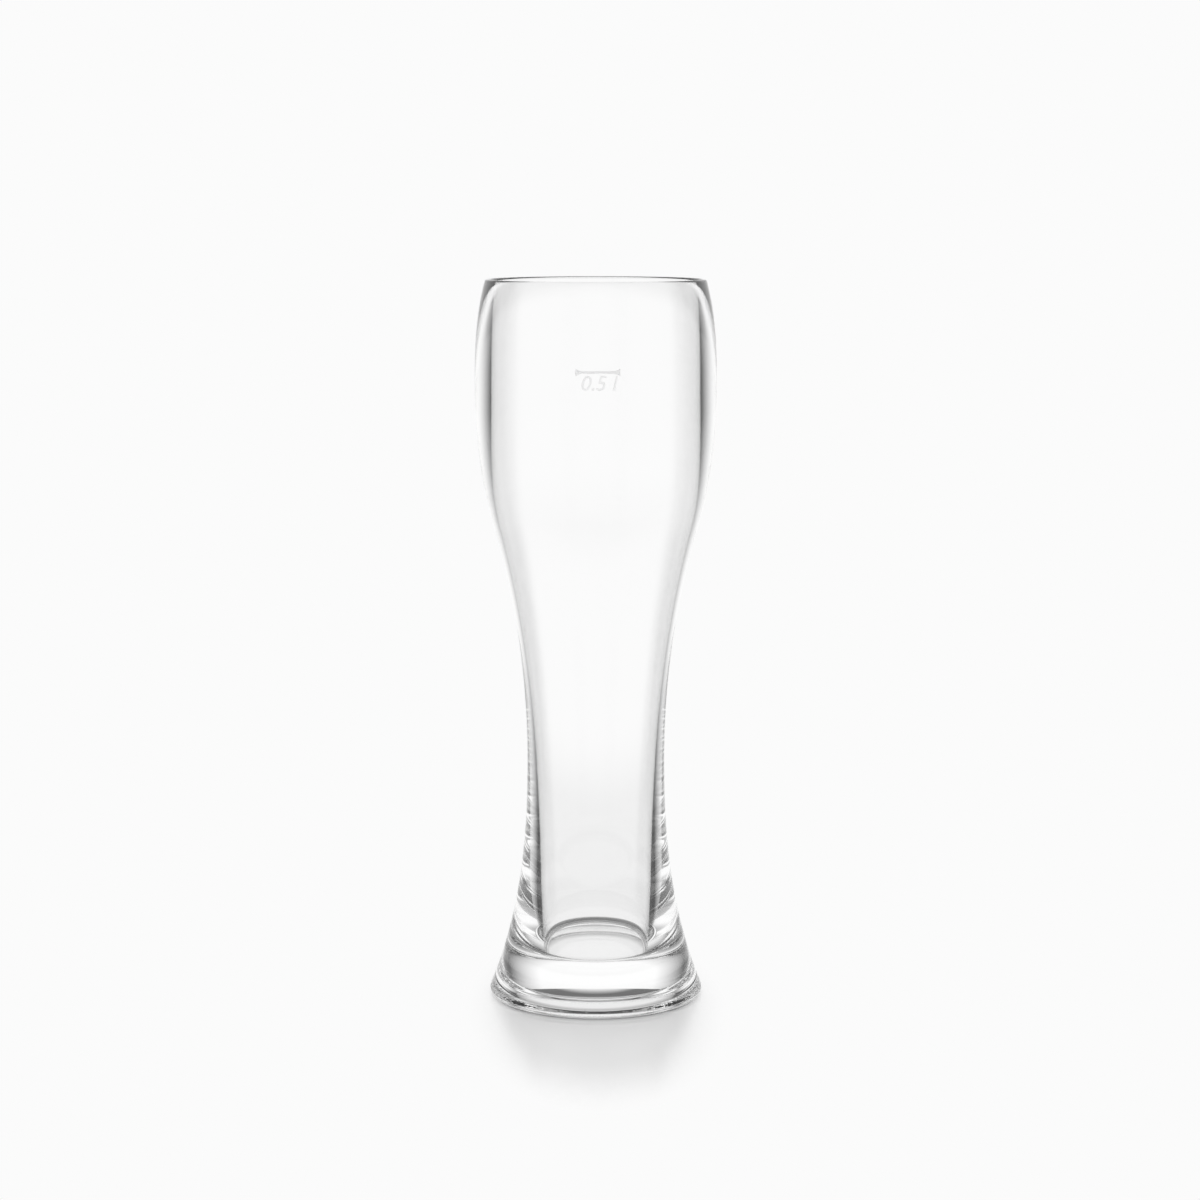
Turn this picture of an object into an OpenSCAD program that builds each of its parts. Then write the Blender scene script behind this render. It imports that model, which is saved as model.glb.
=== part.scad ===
// Weizen glass: a tall wheat-beer glass for half a litre, moulded in one piece.
// The outside swells at the bowl and draws in at the waist; the inside narrows steadily
// from the lip to the floor, so that a core can be drawn out of it, and the foot is solid.
// Millimetres, +Z up. The origin is on the axis, in the plane that the glass stands on.
// The front, with the fill line, faces -Y.

/* [Bowl] */
// Height of the glass
glass_h = 255; // [235:0.5:290]
// Outer radius at the bowl's widest place
bowl_r = 42.4; // [38:0.1:50]
// Distance from the lip down to the bowl's widest place
bowl_drop = 40; // [30:0.5:55]

/* [Lip] */
// How far the lip draws in from the bowl's widest place
lip_draw = 3.6; // [0:0.1:6]
// Wall at the lip
lip_wall = 2.1; // [1.6:0.1:4]
// Lean of the outside at the lip, inward from upright, in degrees
lip_lean = 15; // [0:0.5:25]
// Rounding of the lip's two edges
lip_round = 0.9; // [0.3:0.05:1.2]

/* [Shoulder] */
// Distance from the bowl's widest place down to the shoulder, where the outside is steepest
shoulder_drop = 47; // [35:0.5:60]
// How far the shoulder draws in from the bowl's widest place
shoulder_draw = 6.6; // [4:0.1:10]
// Wall at the shoulder
shoulder_wall = 2.4; // [1.5:0.1:4]
// Lean of the outside at the shoulder, outward from upright, in degrees
shoulder_lean = 16.2; // [10:0.2:22]
// Lean of the inside at the shoulder, outward from upright, in degrees
shoulder_lean_inside = 14; // [10:0.2:20]
// Distance from the shoulder up to where the inside becomes a straight bore
bore_rise = 38; // [25:0.5:50]

/* [Waist] */
// Height of the waist
waist_z = 85; // [70:0.5:100]
// Outer radius at the waist
waist_r = 24.4; // [21:0.1:29]
// Wall at the waist
waist_wall = 3; // [2:0.1:5]
// Lean of the inside at the waist, outward from upright, in degrees
waist_lean_inside = 2.8; // [0:0.1:5]

/* [Foot] */
// Outer radius of the foot
foot_r = 38; // [32:0.1:45]
// Rounding of the foot's edge
foot_round = 2; // [1:0.1:5]
// Lean of the outside above the foot's edge, inward from upright, in degrees
foot_lean = 22; // [12:0.5:32]
// Height at which the inside starts to widen, above the shaft that ends at the floor
shaft_z = 43; // [30:0.5:60]
// How much narrower the shaft is than the inside at the waist, measured on the radius
shaft_draw = 1.1; // [0:0.1:3]
// Height of the floor inside, above the plane that the glass stands on
floor_z = 15.3; // [11:0.1:22]
// Rounding between the floor and the wall inside
floor_round = 2.2; // [0.5:0.1:6]
// Width of the flat ring that the glass stands on
ring_w = 8; // [5:0.1:14]
// Width of the rounding between that ring and the roof of the recess inside it
recess_round = 4; // [1:0.1:8]
// Height of the recess at its roof's edge
recess_depth = 3.6; // [1:0.1:6]
// How much higher the recess's roof is at the axis
recess_dome = 0.5; // [0:0.05:2]

/* [Fill line] */
// Distance from the lip down to the fill line's middle
fill_drop = 30; // [20:0.5:50]
// Length of the fill line
fill_length = 15.2; // [8:0.2:30]
// Height of the fill line's stroke
fill_stroke = 0.8; // [0.4:0.1:2]
// Length of the stretch at each end over which the line widens
fill_flare = 2.4; // [0.5:0.1:3.5]
// Height of the line's widened ends
fill_tick = 2.5; // [1:0.1:6]
// How far the line stands out of the wall
fill_relief = 0.2; // [0.05:0.01:0.4]

/* [Hidden] */

// Straight pieces in each curve of the outline
steps = 24;
// Straight pieces in each rounded edge
round_steps = 8;
// Clearance between the fill line's back and the wall
fill_gap = 0.01;
$fn = 180;

bowl_z = glass_h - bowl_drop;
shoulder_z = bowl_z - shoulder_drop;
bore_z = shoulder_z + bore_rise;
lip_r = bowl_r - lip_draw;
shoulder_r = bowl_r - shoulder_draw;
bore_r = lip_r - lip_wall;
shoulder_inside_r = shoulder_r - shoulder_wall;
waist_inside_r = waist_r - waist_wall;
shaft_r = waist_inside_r - shaft_draw;
recess_r = foot_r - foot_round - ring_w;
roof_r = recess_r - recess_round;
lip_edge = min(lip_round, lip_wall / 2);

// Ends of the outside curve, where it runs into the rounded edges
foot_end = [foot_r - foot_round * (1 - cos(foot_lean)), foot_round * (1 + sin(foot_lean))];
lip_end = [lip_r - lip_edge * (1 - cos(lip_lean)), glass_h - lip_edge * (1 - sin(lip_lean))];

// The straight stretch of the outside that carries the fill line, as high as the line's ends
fill_z = glass_h - fill_drop;
seat_low = fill_z - fill_tick / 2;
seat_high = fill_z + fill_tick / 2;

// Radius at height z on the smooth curve between two places [radius, height],
// which leaves the first with slope s0 and reaches the second with slope s1
function curve(z, a, s0, b, s1) =
    let (h = b[1] - a[1], t = (z - a[1]) / h, u = 1 - t)
    a[0] * (1 + 2 * t) * u * u + h * s0 * t * u * u + b[0] * (1 + 2 * u) * t * t - h * s1 * u * t * t;

// Outer radius of the glass at height z
function outside(z) =
    z < waist_z ? curve(z, foot_end, -tan(foot_lean), [waist_r, waist_z], 0)
    : z < shoulder_z ? curve(z, [waist_r, waist_z], 0, [shoulder_r, shoulder_z], tan(shoulder_lean))
    : z < bowl_z ? curve(z, [shoulder_r, shoulder_z], tan(shoulder_lean), [bowl_r, bowl_z], 0)
    : curve(z, [bowl_r, bowl_z], 0, lip_end, -tan(lip_lean));

// Inner radius of the glass at height z
function inside(z) =
    z < shaft_z ? shaft_r
    : z < waist_z ? curve(z, [shaft_r, shaft_z], 0, [waist_inside_r, waist_z], tan(waist_lean_inside))
    : z < shoulder_z ? curve(z, [waist_inside_r, waist_z], tan(waist_lean_inside),
        [shoulder_inside_r, shoulder_z], tan(shoulder_lean_inside))
    : z < bore_z ? curve(z, [shoulder_inside_r, shoulder_z], tan(shoulder_lean_inside), [bore_r, bore_z], 0)
    : bore_r;

// Even heights from one to the other, the last one left out
function heights(from, to) = [for (i = [0 : steps - 1]) from + (to - from) * i / steps];

// Points of a rounded edge about its centre, from one angle to another
function edge(centre, r, from, to) =
    [for (i = [0 : round_steps]) let (a = from + (to - from) * i / round_steps) centre + r * [cos(a), sin(a)]];

// Underside: the recess's domed roof from the axis outwards, then its rounded wall down to the ring
underside = concat(
    [for (i = [0 : round_steps])
        let (k = i / round_steps) [roof_r * k, recess_depth + recess_dome * (1 - k * k)]],
    [for (i = [1 : round_steps])
        let (a = 90 * i / round_steps) [roof_r + recess_round * sin(a), recess_depth * cos(a)]]);

outer_heights = concat(heights(foot_end[1], waist_z), heights(waist_z, shoulder_z),
    heights(shoulder_z, bowl_z), heights(bowl_z, lip_end[1]));
outer_wall = [for (z = concat([for (z = outer_heights) if (z < seat_low) z], [seat_low, seat_high],
    [for (z = outer_heights) if (z > seat_high) z])) [outside(z), z]];

inner_heights = concat(heights(bore_z, shoulder_z), heights(shoulder_z, waist_z), heights(waist_z, shaft_z));
inner_wall = [for (z = inner_heights) [inside(z), z]];

profile = concat(
    underside,
    edge([foot_r - foot_round, foot_round], foot_round, -90, foot_lean),
    [for (i = [1 : len(outer_wall) - 1]) outer_wall[i]],
    edge([lip_r - lip_edge, glass_h - lip_edge], lip_edge, lip_lean, 90),
    edge([bore_r + lip_edge, glass_h - lip_edge], lip_edge, 90, 180),
    inner_wall,
    [[shaft_r, shaft_z]],
    edge([shaft_r - floor_round, floor_z + floor_round], floor_round, 0, -90),
    [[0, floor_z]]);

// Band all round the bowl, as thick as the fill line, on the straight stretch of the outside
module relief_band() {
    low = [outside(seat_low), seat_low];
    high = [outside(seat_high), seat_high];
    rotate_extrude()
        polygon([low + [fill_gap, 0], low + [fill_relief, 0], high + [fill_relief, 0], high + [fill_gap, 0]]);
}

// Flat outline of the fill line: an even stroke that widens at each end
module fill_outline() {
    end = fill_length / 2;
    neck = end - fill_flare;
    low = fill_stroke / 2;
    high = fill_tick / 2;
    polygon([[-end, -high], [-neck, -low], [neck, -low], [end, -high],
        [end, high], [neck, low], [-neck, low], [-end, high]]);
}

module glass_body() {
    color([0.90, 0.95, 0.96, 0.4])
        rotate_extrude()
            polygon(profile);
}

module fill_line() {
    color([0.97, 0.97, 0.97, 0.8])
        intersection() {
            relief_band();
            translate([0, 0, fill_z])
                rotate([90, 0, 0])
                    linear_extrude(2 * bowl_r)
                        fill_outline();
        }
}

glass_body();
fill_line();
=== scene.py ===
"""Weizen glass: clear body, fill line and capacity figures, with a white studio table.

Lengths are in metres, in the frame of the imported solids: +Z up, -Y to the front.
"""
import math

import bmesh
import bpy
from bpy.props import FloatProperty, FloatVectorProperty, IntProperty, PointerProperty, StringProperty
from mathutils import Matrix, Vector


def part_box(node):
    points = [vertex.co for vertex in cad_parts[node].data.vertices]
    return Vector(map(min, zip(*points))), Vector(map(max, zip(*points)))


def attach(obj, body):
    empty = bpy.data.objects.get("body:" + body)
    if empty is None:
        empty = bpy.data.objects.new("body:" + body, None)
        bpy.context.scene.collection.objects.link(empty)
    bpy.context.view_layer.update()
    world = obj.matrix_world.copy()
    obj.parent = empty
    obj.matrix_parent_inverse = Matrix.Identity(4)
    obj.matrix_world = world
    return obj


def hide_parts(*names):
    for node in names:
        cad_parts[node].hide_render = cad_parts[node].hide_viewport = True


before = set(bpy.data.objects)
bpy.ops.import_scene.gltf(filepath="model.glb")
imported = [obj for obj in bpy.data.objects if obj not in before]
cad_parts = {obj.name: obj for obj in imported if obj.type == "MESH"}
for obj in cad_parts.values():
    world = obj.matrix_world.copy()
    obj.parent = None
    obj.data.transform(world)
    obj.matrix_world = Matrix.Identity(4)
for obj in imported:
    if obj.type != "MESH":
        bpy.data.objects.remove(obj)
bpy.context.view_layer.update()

bl_info = {
    "name": "Weizen glass",
    "version": (1, 0, 0),
    "blender": (4, 5, 0),
    "location": "View3D > Sidebar > Weizen glass",
    "description": "Builds a half-litre wheat-beer glass of clear moulded glass on a white studio table",
    "category": "Object",
}

MM = 0.001
BODY = "root"
BODY_HIGH = Vector(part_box("glass_body")[1])
# Points closer than this become one
MERGE = 0.001 * MM
# A figure's height as a share of the font's size
FIGURE_SHARE = 0.73
FIGURE_BEVEL_STEPS = 2
FIGURE_CURVE_STEPS = 6
# Faces along and across the fill line
LINE_STEPS = 64, 12
TABLE_SIDES = 96
WEAR_DETAIL = 2.0
SENSOR_WIDTH = 36.0
BOUNCES = 32
GLOSSY_BOUNCES = 24


def length(name, description, mm, **options):
    """A property for a length, given in millimetres and held in metres."""
    return FloatProperty(name=name, description=description, default=mm * MM, min=0.0,
                         unit="LENGTH", subtype="DISTANCE", precision=5, **options)


def lean(name, description, degrees):
    """A property for an angle, given in degrees."""
    return FloatProperty(name=name, description=description, default=math.radians(degrees), unit="ROTATION",
                         subtype="ANGLE")


class GlassSizes(bpy.types.PropertyGroup):
    """Outline of the glass, inside and outside"""

    height: length("Height", "Height of the glass", BODY_HIGH.z / MM)
    bowl_radius: length("Bowl radius", "Outer radius at the bowl's widest place", BODY_HIGH.x / MM)
    bowl_drop: length("Bowl drop", "Distance from the lip down to the bowl's widest place", 40)
    lip_draw: length("Lip draw", "How far the lip draws in from the bowl's widest place", 3.6)
    lip_wall: length("Lip wall", "Wall at the lip", 2.1)
    lip_lean: lean("Lip lean", "Inward lean of the outside at the lip", 15)
    lip_round: length("Lip rounding", "Rounding of the lip's two edges", 0.9)
    shoulder_drop: length("Shoulder drop", "Distance from the bowl's widest place down to the shoulder", 47)
    shoulder_draw: length("Shoulder draw", "How far the shoulder draws in from the bowl's widest place", 6.6)
    shoulder_wall: length("Shoulder wall", "Wall at the shoulder", 2.4)
    shoulder_lean: lean("Shoulder lean", "Outward lean of the outside at the shoulder", 16.2)
    shoulder_lean_inside: lean("Shoulder lean inside", "Outward lean of the inside at the shoulder", 14)
    bore_rise: length("Bore rise", "Distance from the shoulder up to the straight bore", 38)
    waist_height: length("Waist height", "Height of the waist", 85)
    waist_radius: length("Waist radius", "Outer radius at the waist", 24.4)
    waist_wall: length("Waist wall", "Wall at the waist", 3)
    waist_lean_inside: lean("Waist lean inside", "Outward lean of the inside at the waist", 2.8)
    foot_radius: length("Foot radius", "Outer radius of the foot", 38)
    foot_round: length("Foot rounding", "Rounding of the foot's edge", 2)
    foot_lean: lean("Foot lean", "Inward lean of the outside above the foot's edge", 22)
    floor_height: length("Floor height", "Height of the floor inside", 15.3)
    floor_round: length("Floor rounding", "Rounding between the floor and the wall inside", 2.2)
    shaft_height: length("Shaft height", "Height at which the inside starts to widen", 43)
    shaft_draw: length("Shaft draw", "How much narrower the shaft is than the inside at the waist", 1.1)
    ring_width: length("Ring width", "Width of the flat ring that the glass stands on", 8)
    recess_round: length("Recess rounding", "Width of the rounding between that ring and the recess inside it", 4)
    recess_depth: length("Recess depth", "Height of the recess at its edge", 3.6)
    recess_dome: length("Recess dome", "How much higher the recess is at the axis", 0.5)
    turns: IntProperty(name="Turns", description="Faces round the glass", default=256, min=32)
    span_steps: IntProperty(name="Span steps", description="Faces along each curve of the outline", default=36, min=8)
    edge_steps: IntProperty(name="Edge steps", description="Faces round each rounded edge", default=12, min=4)


class MarkSizes(bpy.types.PropertyGroup):
    """Fill line and capacity figures"""

    drop: length("Drop", "Distance from the lip down to the fill line's middle", 30)
    line_length: length("Line length", "Length of the fill line", 15.2)
    stroke: length("Stroke", "Height of the fill line's stroke", 0.8)
    tick: length("Tick", "Height of the line's flared ends", 2.5)
    flare: length("Flare", "Length of the line's flared end", 2.4)
    relief: length("Relief", "How far the mark stands out of the wall", 0.2)
    gap: length("Gap", "Clearance between the mark's back and the wall", 0.01)
    figures: StringProperty(name="Figures", description="Capacity figures under the line", default="0.5 l")
    figure_height: length("Figure height", "Height of the capacity figures", 5.2)
    figure_drop: length("Figure drop", "Distance from the line's middle down to the figures' foot", 6.05)
    figure_relief: length("Figure relief", "How far the figures stand out of the wall", 0.108)
    figure_slant: FloatProperty(name="Figure slant", description="Slant of the figures", default=0.22)


class GlassFinish(bpy.types.PropertyGroup):
    """Clear and frosted finishes"""

    tint: FloatVectorProperty(name="Tint", description="Colour of the clear glass", subtype="COLOR", size=4,
                              default=(1.0, 1.0, 1.0, 1.0), min=0.0, max=1.0)
    ior: FloatProperty(name="IOR", description="Index of refraction", default=1.55, min=1.0, max=2.0)
    worn: FloatProperty(name="Wear", description="Unevenness of the standing ring", default=0.5, min=0.0, max=1.0)
    worn_height: length("Wear height", "Height at which the standing ring's unevenness ends", 0.4)
    worn_grain: length("Wear grain", "Size of the standing ring's unevenness", 2.5)
    worn_relief: length("Wear relief", "Depth of the standing ring's unevenness", 0.3)
    frost: FloatProperty(name="Frost", description="Roughness of the raised mark", default=0.5, min=0.0, max=1.0)


class StageSettings(bpy.types.PropertyGroup):
    """Table, studio light and camera"""

    table_colour: FloatVectorProperty(name="Table colour", description="Colour of the table", subtype="COLOR", size=4,
                                      default=(0.94, 0.94, 0.94, 1.0), min=0.0, max=1.0)
    table_roughness: FloatProperty(name="Table roughness", description="Roughness of the table", default=0.2)
    table_radius: length("Table radius", "Radius of the table", 550)
    table_gap: length("Table gap", "Clearance between the table and the standing ring", 0.1)
    shadow_width: length("Shadow width", "Half the width of the shaded part of the table", 47)
    shadow_length: length("Shadow length", "Half the length of the shaded part of the table", 120)
    shadow_forward: length("Shadow forward", "How far the shaded part's middle lies in front of the axis", 20)
    shadow_core: FloatProperty(name="Shadow core", description="Share of the shaded part that is shaded fully",
                               default=0.55)
    # Painted light and shade on the table where it is seen through the glass: a glow under the recess and painted
    # shade under the standing ring, fading out round the foot
    under: FloatProperty(name="Under", description="Brightness under the recess", default=0.85)
    shade: FloatProperty(name="Shade", description="Brightness under the standing ring", default=0.12)
    shade_inner: length("Shade inner", "Radius where the shade under the standing ring starts", 23)
    shade_outer: length("Shade outer", "Radius where the shade under the standing ring is full", 30)
    shade_leave: length("Shade leave", "Radius where the shade starts to leave", 39)
    shade_end: length("Shade end", "Radius where the shade ends", 46)
    table_ior: FloatProperty(name="Table IOR", description="Index of refraction of the table's gloss", default=1.5)
    white: FloatProperty(name="White", description="Brightness of the backdrop", default=0.965)
    high: FloatProperty(name="High", description="Brightness of the backdrop above the horizon", default=1.0)
    dark: FloatProperty(name="Dark", description="Brightness beside the backdrop", default=0.01)
    side: FloatProperty(name="Side", description="Brightness of the room at the sides", default=0.08)
    top: FloatProperty(name="Top", description="Brightness overhead", default=0.35)
    top_start: lean("Top start", "Elevation where the backdrop ends", 20)
    top_end: lean("Top end", "Elevation where it is as dark as overhead", 36)
    gap_start: lean("Gap start", "Bearing where the backdrop starts to darken", 12)
    gap_middle: lean("Gap middle", "Bearing of the darkest place beside the backdrop", 48)
    gap_end: lean("Gap end", "Bearing where the room is as light as at the sides", 66)
    front_start: lean("Front start", "Bearing beyond which the room is white again", 98)
    veil: FloatProperty(name="Veil", description="Brightness beside the backdrop, seen straight through walls",
                        default=0.74)
    low: FloatProperty(name="Low", description="Brightness of the backdrop's foot, seen straight through walls",
                       default=0.86)
    low_start: lean("Low start", "Elevation where the backdrop's foot starts", -13)
    low_end: lean("Low end", "Elevation where it is as dark as its foot", -18)
    spread: FloatProperty(name="Spread", description="How much wider the backdrop is higher up", default=0.16)
    spread_start: lean("Spread start", "Elevation where the backdrop starts to widen", 4)
    spread_end: lean("Spread end", "Elevation where it is widest", 14)
    mirrored: FloatProperty(name="Mirrored", description="Brightness of the surroundings in reflections", default=1.0)
    fill: FloatProperty(name="Fill", description="Brightness of the soft light all round", default=0.87)
    key: FloatProperty(name="Key", description="Strength of the soft light from behind", default=0.9)
    key_height: lean("Key height", "Elevation of the soft light from behind", 45)
    key_spread: lean("Key spread", "Angle over which the soft light from behind is spread", 30)
    camera_distance: length("Camera distance", "Distance of the camera from the glass's axis", 996.4)
    camera_height: length("Camera height", "Height of the camera", 282)
    camera_side: FloatProperty(name="Camera side", description="Camera's place to the right of the axis",
                               default=1.48 * MM, unit="LENGTH")
    camera_turn: lean("Camera turn", "Turn of the camera round the glass, to the left", 1.04)
    camera_pitch: lean("Camera pitch", "Downward tilt of the camera", 7.991)
    lens: FloatProperty(name="Lens", description="Focal length in millimetres", default=85.31)


# Outline of the glass


def curve(z, start, slope_start, end, slope_end):
    """Radius at height z on the smooth curve between two places (radius, height), with a slope at each."""
    h = end[1] - start[1]
    t = (z - start[1]) / h
    u = 1.0 - t
    return (start[0] * (1 + 2 * t) * u * u + h * slope_start * t * u * u
            + end[0] * (1 + 2 * u) * t * t - h * slope_end * u * t * t)


class Outline:
    """The turned outline of the glass, worked out from its sizes."""

    def __init__(self, s):
        self.s = s
        self.bowl = (s.bowl_radius, s.height - s.bowl_drop)
        self.shoulder = (s.bowl_radius - s.shoulder_draw, self.bowl[1] - s.shoulder_drop)
        self.waist = (s.waist_radius, s.waist_height)
        self.lip_radius = s.bowl_radius - s.lip_draw
        self.lip_edge = min(s.lip_round, s.lip_wall / 2)
        self.bore = (self.lip_radius - s.lip_wall, self.shoulder[1] + s.bore_rise)
        self.shoulder_inside = (self.shoulder[0] - s.shoulder_wall, self.shoulder[1])
        self.waist_inside = (self.waist[0] - s.waist_wall, self.waist[1])
        self.shaft = (self.waist_inside[0] - s.shaft_draw, s.shaft_height)
        self.foot_end = (s.foot_radius - s.foot_round * (1 - math.cos(s.foot_lean)),
                         s.foot_round * (1 + math.sin(s.foot_lean)))
        self.lip_end = (self.lip_radius - self.lip_edge * (1 - math.cos(s.lip_lean)),
                        s.height - self.lip_edge * (1 - math.sin(s.lip_lean)))

    def outer_spans(self):
        s = self.s
        return [(self.foot_end, -math.tan(s.foot_lean), self.waist, 0.0),
                (self.waist, 0.0, self.shoulder, math.tan(s.shoulder_lean)),
                (self.shoulder, math.tan(s.shoulder_lean), self.bowl, 0.0),
                (self.bowl, 0.0, self.lip_end, -math.tan(s.lip_lean))]

    def inner_spans(self):
        s = self.s
        return [(self.shaft, 0.0, self.waist_inside, math.tan(s.waist_lean_inside)),
                (self.waist_inside, math.tan(s.waist_lean_inside),
                 self.shoulder_inside, math.tan(s.shoulder_lean_inside)),
                (self.shoulder_inside, math.tan(s.shoulder_lean_inside), self.bore, 0.0)]

    def outside(self, z):
        """Outer radius at height z, above the foot's edge."""
        for span in self.outer_spans():
            if z <= span[2][1]:
                return curve(z, *span)
        return self.lip_end[0]

    def along(self, span, steps):
        """Points along one curve from its lower end up, the last one left out."""
        low, high = span[0][1], span[2][1]
        heights = [low + (high - low) * i / steps for i in range(steps)]
        return [(curve(z, *span), z) for z in heights]

    def rounding(self, centre, radius, start, end):
        """Points of a rounded edge about its centre, between two angles."""
        n = self.s.edge_steps
        angles = [start + (end - start) * i / n for i in range(n + 1)]
        return [(centre[0] + radius * math.cos(a), centre[1] + radius * math.sin(a)) for a in angles]

    def underside(self):
        """Points of the recess, from the axis along its domed roof and rounded wall out to the standing ring."""
        s = self.s
        roof = s.foot_radius - s.foot_round - s.ring_width - s.recess_round
        n = s.edge_steps
        shares = [i / n for i in range(n + 1)]
        dome = [(roof * k, s.recess_depth + s.recess_dome * (1 - k ** 2)) for k in shares]
        wall = [(roof + s.recess_round * math.sin(k * math.pi / 2), s.recess_depth * math.cos(k * math.pi / 2))
                for k in shares]
        return dome + wall[1:]

    def points(self):
        """The whole outline, from the axis under the foot round to the axis on the floor inside."""
        s = self.s
        steps = s.span_steps
        quarter = math.pi / 2
        outer = [p for span in self.outer_spans() for p in self.along(span, steps)]
        inner = [p for span in self.inner_spans() for p in self.along(span, steps)] + [self.bore]
        edge = self.lip_edge
        return (self.underside()
                + self.rounding((s.foot_radius - s.foot_round, s.foot_round), s.foot_round, -quarter, s.foot_lean)
                + outer[1:]
                + self.rounding((self.lip_radius - edge, s.height - edge), edge, s.lip_lean, quarter)
                + self.rounding((self.bore[0] + edge, s.height - edge), edge, quarter, 2 * quarter)
                + inner[::-1]
                + self.rounding((self.shaft[0] - s.floor_round, s.floor_height + s.floor_round), s.floor_round,
                                0.0, -quarter)
                + [(0.0, s.floor_height)])


# Making pieces


def new_piece(name, mesh_maker, material):
    """A mesh object made by a bmesh function, shaded smooth."""
    bm = bmesh.new()
    mesh_maker(bm)
    mesh = bpy.data.meshes.new(name)
    bm.to_mesh(mesh)
    bm.free()
    for face in mesh.polygons:
        face.use_smooth = True
    mesh.materials.append(material)
    piece = bpy.data.objects.new(name, mesh)
    bpy.context.collection.objects.link(piece)
    return piece


def settle_order(bm):
    """Puts edges and faces in the order of their vertices, because a spin leaves them in another order each run."""
    bm.verts.index_update()
    count = len(bm.verts)

    def place(part):
        low, *others = sorted(v.index for v in part.verts)
        return (low * count + others[0]) * count + others[-1]

    for parts in (bm.edges, bm.faces):
        parts.sort(key=place)


def spin_outline(bm, points, turns):
    """Turns an outline of (radius, height) points once round the Z axis."""
    verts = [bm.verts.new((r, 0.0, z)) for r, z in points]
    edges = [bm.edges.new(pair) for pair in zip(verts, verts[1:])]
    bmesh.ops.spin(bm, geom=verts + edges, cent=(0, 0, 0), axis=(0, 0, 1), angle=2 * math.pi, steps=turns,
                   use_merge=True)
    bmesh.ops.remove_doubles(bm, verts=bm.verts, dist=MERGE)
    settle_order(bm)
    bmesh.ops.recalc_face_normals(bm, faces=bm.faces)


def ridge(bm, mark):
    """A flat-backed ridge along X with a rounded front: X along, Y out of the wall, Z up."""
    along, across = LINE_STEPS
    half = mark.line_length / 2

    def width(x):
        flare = max(0.0, 1 - (half - abs(x)) / mark.flare)
        return mark.stroke / 2 + (mark.tick - mark.stroke) / 2 * flare ** 2

    def height(x, share):
        end = min(1.0, (half - abs(x)) / (mark.stroke / 2))
        return (mark.relief - mark.gap) * math.sqrt(max(0.0, (1 - share ** 2) * (1 - (1 - end) ** 2)))

    for raised in (1.0, 0.0):
        grid = bmesh.ops.create_grid(bm, x_segments=along, y_segments=across, size=1.0)
        for v in grid["verts"]:
            x = half * math.sin(math.pi / 2 * v.co.x)
            share = math.sin(math.pi / 2 * v.co.y)
            v.co = (x, raised * height(x, share), width(x) * share)
    bmesh.ops.remove_doubles(bm, verts=bm.verts, dist=MERGE)
    bmesh.ops.recalc_face_normals(bm, faces=bm.faces)


def figures(bm, mark):
    """The capacity figures as a flat-backed mesh: X along, Y out of the wall, Z up."""
    text = bpy.data.curves.new("figures", "FONT")
    text.body = mark.figures
    text.align_x = "CENTER"
    text.size = mark.figure_height / FIGURE_SHARE
    text.shear = mark.figure_slant
    text.extrude = mark.figure_relief / 4
    text.bevel_depth = mark.figure_relief / 4
    text.bevel_resolution = FIGURE_BEVEL_STEPS
    text.resolution_u = FIGURE_CURVE_STEPS
    holder = bpy.data.objects.new("figures", text)
    flat = bpy.data.meshes.new_from_object(holder)
    bm.from_mesh(flat)
    bpy.data.objects.remove(holder)
    bpy.data.curves.remove(text)
    bpy.data.meshes.remove(flat)
    for v in bm.verts:
        v.co = (v.co.x, v.co.z + mark.figure_relief / 2, v.co.y)
    slices = math.ceil(mark.line_length / mark.stroke)
    for i in range(-slices, slices + 1):
        bmesh.ops.bisect_plane(bm, geom=bm.verts[:] + bm.edges[:] + bm.faces[:],
                               plane_co=(i * mark.stroke / 2, 0, 0), plane_no=(1, 0, 0))
    bmesh.ops.remove_doubles(bm, verts=bm.verts, dist=MERGE)
    bmesh.ops.recalc_face_normals(bm, faces=bm.faces)


def wrap_on_bowl(bm, outline, mark, height):
    """Wraps a flat mesh (X along, Y out, Z up) onto the front of the bowl, with its Z zero at a height."""
    for v in bm.verts:
        z = height + v.co.z
        wall = outline.outside(z)
        angle = v.co.x / wall
        r = wall + mark.gap + v.co.y
        v.co = (r * math.sin(angle), -r * math.cos(angle), z)


# Finishes


def glass_material(name, finish, roughness):
    """Colourless see-through glass of a given roughness."""
    material = bpy.data.materials.new(name)
    material.use_nodes = True
    shader = material.node_tree.nodes["Principled BSDF"]
    shader.inputs["Base Color"].default_value = finish.tint
    shader.inputs["Transmission Weight"].default_value = 1.0
    shader.inputs["Roughness"].default_value = roughness
    shader.inputs["IOR"].default_value = finish.ior
    return material


def clear_glass(finish):
    """Clear polished glass, uneven only where it stands."""
    material = glass_material("clear_glass", finish, 0.0)
    nodes, links = material.node_tree.nodes, material.node_tree.links
    coords = nodes.new("ShaderNodeTexCoord")
    place = nodes.new("ShaderNodeSeparateXYZ")
    links.new(coords.outputs["Object"], place.inputs[0])
    worn = nodes.new("ShaderNodeMapRange")
    worn.inputs["From Min"].default_value = finish.worn_height
    worn.inputs["From Max"].default_value = 0.0
    worn.inputs["To Max"].default_value = finish.worn
    links.new(place.outputs["Z"], worn.inputs["Value"])
    noise = nodes.new("ShaderNodeTexNoise")
    noise.inputs["Scale"].default_value = 1.0 / finish.worn_grain
    noise.inputs["Detail"].default_value = WEAR_DETAIL
    links.new(coords.outputs["Object"], noise.inputs["Vector"])
    bump = nodes.new("ShaderNodeBump")
    bump.inputs["Distance"].default_value = finish.worn_relief
    links.new(worn.outputs["Result"], bump.inputs["Strength"])
    links.new(noise.outputs["Fac"], bump.inputs["Height"])
    links.new(bump.outputs["Normal"], nodes["Principled BSDF"].inputs["Normal"])
    return material


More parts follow.
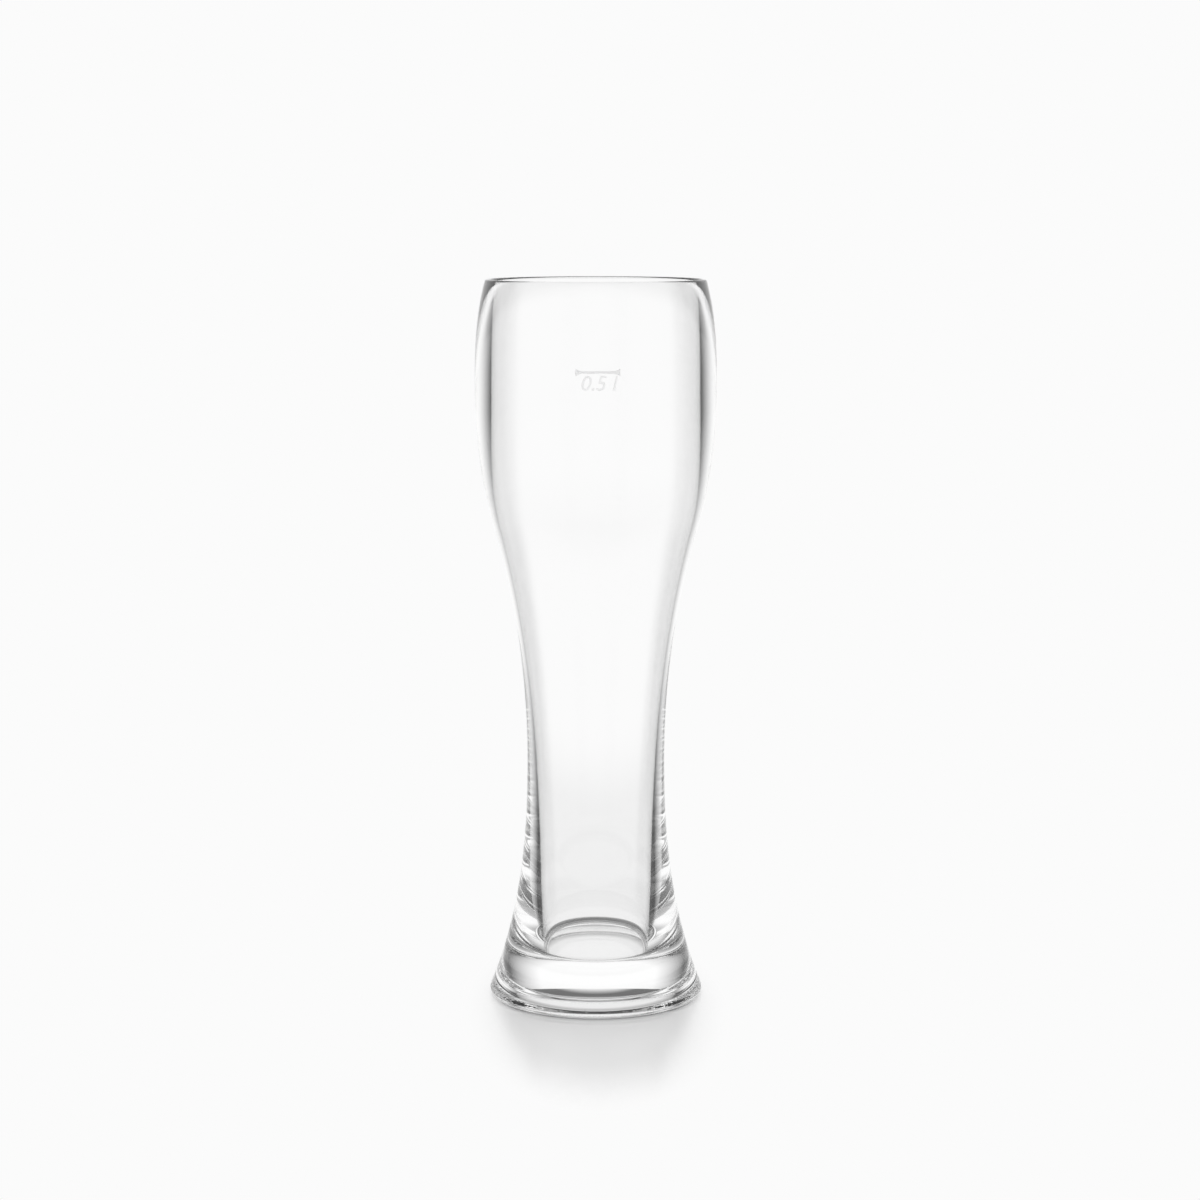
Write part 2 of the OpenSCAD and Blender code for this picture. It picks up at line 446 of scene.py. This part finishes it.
def frosted_glass(finish):
    """Frosted colourless glass of the raised mark."""
    return glass_material("frosted_mark", finish, finish.frost)


# Stage


def lay_table(stage):
    """A round white table top just under the standing ring."""
    bm = bmesh.new()
    bmesh.ops.create_circle(bm, cap_ends=True, segments=TABLE_SIDES, radius=stage.table_radius)
    bmesh.ops.translate(bm, verts=bm.verts, vec=(0, 0, -stage.table_gap))
    mesh = bpy.data.meshes.new("table")
    bm.to_mesh(mesh)
    bm.free()
    mesh.materials.append(table_finish(stage))
    table = bpy.data.objects.new("table", mesh)
    bpy.context.collection.objects.link(table)


def table_finish(stage):
    """White, lit and glossy round the foot; seen through the glass it glows instead, with painted light under the
    recess and a painted shade ring under the standing ring.
    """
    material = bpy.data.materials.new("table_white")
    material.use_nodes = True
    nodes, links = material.node_tree.nodes, material.node_tree.links
    nodes.remove(nodes["Principled BSDF"])

    def mix(a, b, factor):
        node = nodes.new("ShaderNodeMixShader")
        links.new(a, node.inputs[1])
        links.new(b, node.inputs[2])
        links.new(factor, node.inputs[0])
        return node.outputs[0]

    def length_of(vector):
        node = nodes.new("ShaderNodeVectorMath")
        node.operation = "LENGTH"
        links.new(vector, node.inputs[0])
        return node.outputs["Value"]

    lit = nodes.new("ShaderNodeBsdfDiffuse")
    lit.inputs["Color"].default_value = stage.table_colour
    gloss = nodes.new("ShaderNodeBsdfGlossy")
    gloss.inputs["Roughness"].default_value = stage.table_roughness
    fresnel = nodes.new("ShaderNodeFresnel")
    fresnel.inputs["IOR"].default_value = stage.table_ior
    glow = nodes.new("ShaderNodeEmission")
    glow.inputs["Strength"].default_value = stage.white
    coords = nodes.new("ShaderNodeTexCoord")
    around_shadow = nodes.new("ShaderNodeMapping")
    around_shadow.vector_type = "TEXTURE"
    around_shadow.inputs["Location"].default_value = (0.0, -stage.shadow_forward, 0.0)
    around_shadow.inputs["Scale"].default_value = (stage.shadow_width, stage.shadow_length, 1.0)
    links.new(coords.outputs["Object"], around_shadow.inputs["Vector"])
    away = nodes.new("ShaderNodeMapRange")
    away.interpolation_type = "SMOOTHSTEP"
    away.inputs["From Min"].default_value = stage.shadow_core
    links.new(length_of(around_shadow.outputs["Vector"]), away.inputs["Value"])
    glossy = mix(lit.outputs[0], gloss.outputs[0], fresnel.outputs[0])
    seen = mix(glossy, glow.outputs[0], away.outputs["Result"])

    # Seen through the glass the table is an emission, not lit by the lamps: painted light under the recess, painted
    # shade under the standing ring
    through = nodes.new("ShaderNodeEmission")
    clear = nodes.new("ShaderNodeBsdfTransparent")
    distance = length_of(coords.outputs["Object"])
    shade = nodes.new("ShaderNodeMapRange")
    shade.inputs["From Min"].default_value = stage.shade_inner
    shade.inputs["From Max"].default_value = stage.shade_outer
    links.new(distance, shade.inputs["Value"])
    # Painted shade ring: the glow falls from the brightness under the recess to the dark of the shade under the
    # standing ring
    ring = nodes.new("ShaderNodeValToRGB")
    links.new(shade.outputs["Result"], ring.inputs["Fac"])
    links.new(ring.outputs["Color"], through.inputs["Strength"])
    ring.color_ramp.elements[0].color = (stage.under, stage.under, stage.under, 1.0)
    ring.color_ramp.elements[1].color = (stage.shade, stage.shade, stage.shade, 1.0)
    around = nodes.new("ShaderNodeMapRange")
    around.inputs["From Min"].default_value = stage.shade_leave
    around.inputs["From Max"].default_value = stage.shade_end
    links.new(distance, around.inputs["Value"])
    path = nodes.new("ShaderNodeLightPath")
    under = mix(through.outputs[0], clear.outputs[0], around.outputs["Result"])
    links.new(mix(seen, under, path.outputs["Is Transmission Ray"]), nodes["Material Output"].inputs["Surface"])
    return material


def light_studio(scene, stage):
    """A white backdrop with a darker room beside it, seen through the glass, and soft light from behind."""
    world = bpy.data.worlds.new("studio")
    scene.world = world
    world.use_nodes = True
    nodes = world.node_tree.nodes
    links = world.node_tree.links
    background = nodes["Background"]

    def math_node(operation, a, b=None):
        node = nodes.new("ShaderNodeMath")
        node.operation = operation
        for socket, value in zip(node.inputs, (a, b)):
            if value is None:
                continue
            if isinstance(value, (int, float)):
                socket.default_value = value
            else:
                links.new(value, socket)
        return node.outputs[0]

    def ramp(value, low, high, at_low, at_high, kind="SMOOTHSTEP"):
        node = nodes.new("ShaderNodeMapRange")
        node.interpolation_type = kind
        for name, item in (("From Min", low), ("From Max", high), ("To Min", at_low), ("To Max", at_high)):
            if isinstance(item, (int, float)):
                node.inputs[name].default_value = item
            else:
                links.new(item, node.inputs[name])
        links.new(value, node.inputs["Value"])
        return node.outputs["Result"]

    coords = nodes.new("ShaderNodeTexCoord")
    split = nodes.new("ShaderNodeSeparateXYZ")
    links.new(coords.outputs["Generated"], split.inputs[0])
    x, y, z = split.outputs
    flat = math_node("ADD", math_node("MULTIPLY", x, x), math_node("MULTIPLY", y, y))
    bearing = math_node("DIVIDE", math_node("MULTIPLY", y, math_node("ABSOLUTE", y)),
                        math_node("MAXIMUM", flat, 1e-6))
    start, middle, end = (math.cos(a) ** 2 for a in (stage.gap_start, stage.gap_middle, stage.gap_end))
    white = ramp(z, 0.0, math.sin(stage.top_start) / 2, stage.white, stage.high)
    wider = ramp(z, math.sin(stage.spread_start), math.sin(stage.spread_end), 0.0, stage.spread)
    backdrop = ramp(math_node("ADD", bearing, wider), middle, start, stage.dark, white, "LINEAR")
    room = ramp(bearing, end, middle, stage.side, stage.dark, "LINEAR")
    room = ramp(bearing, -math.cos(stage.front_start) ** 2, end, white, room)
    around = math_node("MAXIMUM", backdrop, room)
    bent = ramp(z, math.sin(stage.top_start), math.sin(stage.top_end), around, stage.top)
    through = ramp(z, math.sin(stage.low_end), math.sin(stage.low_start), stage.low, stage.white)
    edge = ramp(bearing, middle, start, stage.veil, through, "LINEAR")
    straight = ramp(bearing, end, middle, through, edge)
    path = nodes.new("ShaderNodeLightPath")
    seen = ramp(path.outputs["Is Camera Ray"], 0.0, 1.0, stage.fill, stage.white, "LINEAR")
    seen = ramp(path.outputs["Is Glossy Ray"], 0.0, 1.0, seen, stage.mirrored, "LINEAR")
    # Ray Depth counts the world too, so a path without reflections gives 1 and each reflection adds 1
    mirrors = math_node("SUBTRACT", path.outputs["Ray Depth"], path.outputs["Transmission Depth"])
    sky = ramp(mirrors, 1.0, 2.0, straight, bent, "LINEAR")
    seen = ramp(path.outputs["Is Transmission Ray"], 0.0, 1.0, seen, sky, "LINEAR")
    links.new(seen, background.inputs["Color"])
    key = bpy.data.lights.new("key", "SUN")
    key.energy = stage.key
    key.angle = stage.key_spread
    lamp = bpy.data.objects.new("key", key)
    lamp.rotation_euler = (stage.key_height - math.pi / 2, 0.0, 0.0)
    lamp.visible_glossy = False
    lamp.visible_transmission = False
    scene.collection.objects.link(lamp)


def set_camera(scene, stage):
    """The photographer's camera: in front, a little above the lip, tilted down."""
    data = bpy.data.cameras.new("camera")
    data.lens = stage.lens
    data.sensor_width = SENSOR_WIDTH
    camera = bpy.data.objects.new("camera", data)
    scene.collection.objects.link(camera)
    turn = Matrix.Rotation(-stage.camera_turn, 3, "Z")
    camera.location = turn @ Vector((stage.camera_side, -stage.camera_distance, stage.camera_height))
    camera.rotation_euler = (math.pi / 2 - stage.camera_pitch, 0.0, -stage.camera_turn)
    scene.camera = camera
    scene.view_settings.view_transform = "Standard"
    scene.cycles.max_bounces = BOUNCES
    scene.cycles.glossy_bounces = GLOSSY_BOUNCES
    scene.cycles.transmission_bounces = BOUNCES


# Operators


class WEIZEN_OT_glass_body(bpy.types.Operator):
    """Turn the clear body of the glass: bowl, waist and solid foot"""

    bl_idname = "weizen.glass_body"
    bl_label = "Glass body"

    def execute(self, context):
        sizes = context.scene.weizen_glass
        outline = Outline(sizes)
        piece = new_piece("clear_body", lambda bm: spin_outline(bm, outline.points(), sizes.turns),
                          clear_glass(context.scene.weizen_finish))
        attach(piece, BODY)
        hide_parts("glass_body")
        return {"FINISHED"}


class WEIZEN_OT_fill_line(bpy.types.Operator):
    """Raise the fill line with flared ends on the front of the bowl"""

    bl_idname = "weizen.fill_line"
    bl_label = "Fill line"

    def execute(self, context):
        mark = context.scene.weizen_mark
        outline = Outline(context.scene.weizen_glass)

        def make(bm):
            ridge(bm, mark)
            wrap_on_bowl(bm, outline, mark, outline.s.height - mark.drop)

        piece = new_piece("raised_line", make, frosted_glass(context.scene.weizen_finish))
        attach(piece, BODY)
        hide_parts("fill_line")
        return {"FINISHED"}


class WEIZEN_OT_fill_figures(bpy.types.Operator):
    """Raise the capacity figures under the fill line"""

    bl_idname = "weizen.fill_figures"
    bl_label = "Fill figures"

    def execute(self, context):
        mark = context.scene.weizen_mark
        outline = Outline(context.scene.weizen_glass)

        def make(bm):
            figures(bm, mark)
            wrap_on_bowl(bm, outline, mark, outline.s.height - mark.drop - mark.figure_drop)

        piece = new_piece("raised_figures", make, frosted_glass(context.scene.weizen_finish))
        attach(piece, BODY)
        return {"FINISHED"}


class WEIZEN_OT_stage(bpy.types.Operator):
    """Lay the white table, light the studio and set the camera"""

    bl_idname = "weizen.stage"
    bl_label = "Stage"

    def execute(self, context):
        stage = context.scene.weizen_stage
        lay_table(stage)
        light_studio(context.scene, stage)
        set_camera(context.scene, stage)
        return {"FINISHED"}


class WEIZEN_PT_panel(bpy.types.Panel):
    """Sizes and makers of the weizen glass"""

    bl_label = "Weizen glass"
    bl_idname = "WEIZEN_PT_panel"
    bl_space_type = "VIEW_3D"
    bl_region_type = "UI"
    bl_category = "Weizen glass"

    def draw(self, context):
        for operator in OPERATORS:
            self.layout.operator(operator.bl_idname)


OPERATORS = (WEIZEN_OT_glass_body, WEIZEN_OT_fill_line, WEIZEN_OT_fill_figures, WEIZEN_OT_stage)
GROUPS = {"weizen_glass": GlassSizes, "weizen_mark": MarkSizes, "weizen_finish": GlassFinish,
          "weizen_stage": StageSettings}
CLASSES = (*GROUPS.values(), *OPERATORS, WEIZEN_PT_panel)


def register():
    for cls in CLASSES:
        bpy.utils.register_class(cls)
    for name, group in GROUPS.items():
        setattr(bpy.types.Scene, name, PointerProperty(type=group))


def unregister():
    for name in GROUPS:
        delattr(bpy.types.Scene, name)
    for cls in reversed(CLASSES):
        bpy.utils.unregister_class(cls)


def main():
    register()
    bpy.ops.weizen.glass_body()
    bpy.ops.weizen.fill_line()
    bpy.ops.weizen.fill_figures()
    bpy.ops.weizen.stage()


if __name__ == "__main__":
    main()
